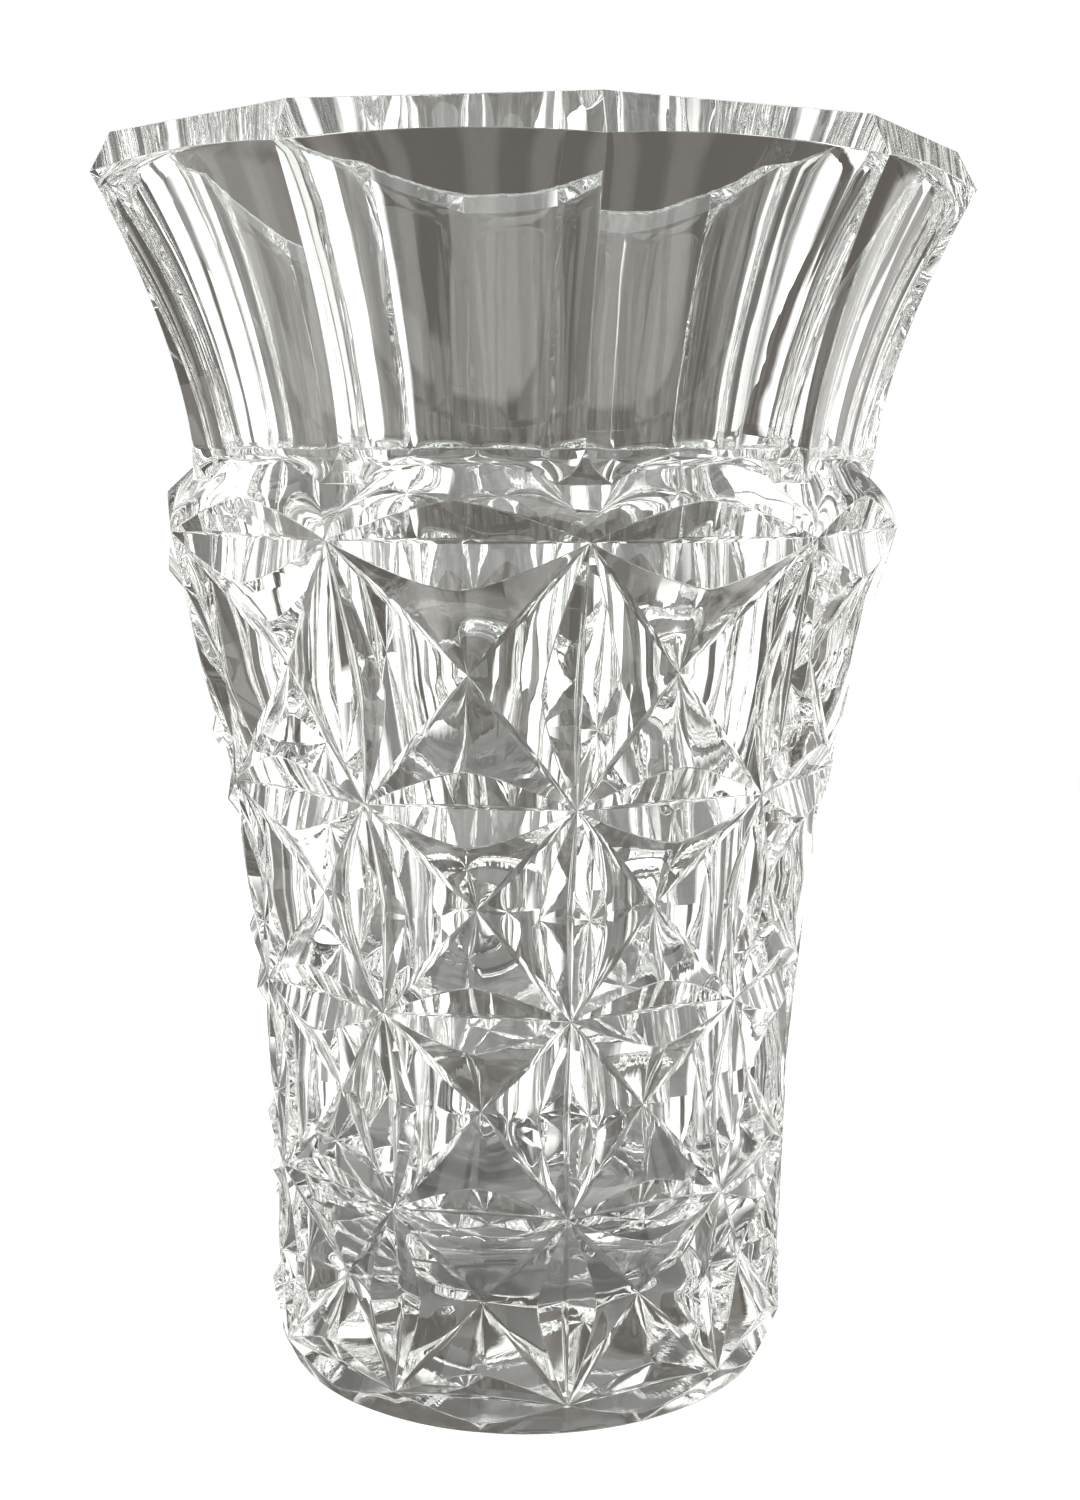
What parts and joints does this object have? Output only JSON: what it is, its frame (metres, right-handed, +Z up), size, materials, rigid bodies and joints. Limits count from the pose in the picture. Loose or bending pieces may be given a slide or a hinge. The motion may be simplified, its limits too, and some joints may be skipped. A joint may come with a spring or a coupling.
{
  "type": "cut crystal vase",
  "caption": "Heavy flared cut crystal vase: bevelled many-sided rim, fluted neck, shoulder ledge, and a body cut with rows of stars and pointed lens cuts.",
  "frame": {"origin": "centre of the flat base, on the surface that the vase stands on", "axes": "+Z up along the vase's own axis, towards the rim; the first column of star points and the first corner of the rim face -Y"},
  "size_m": [0.2054, 0.216, 0.3],
  "materials": {
    "crystal": "clear colourless lead crystal, wheel cut and polished to a high gloss on every face"
  },
  "bodies": {
    "root": {"crystal_body": "crystal"}
  },
  "joints": []
}
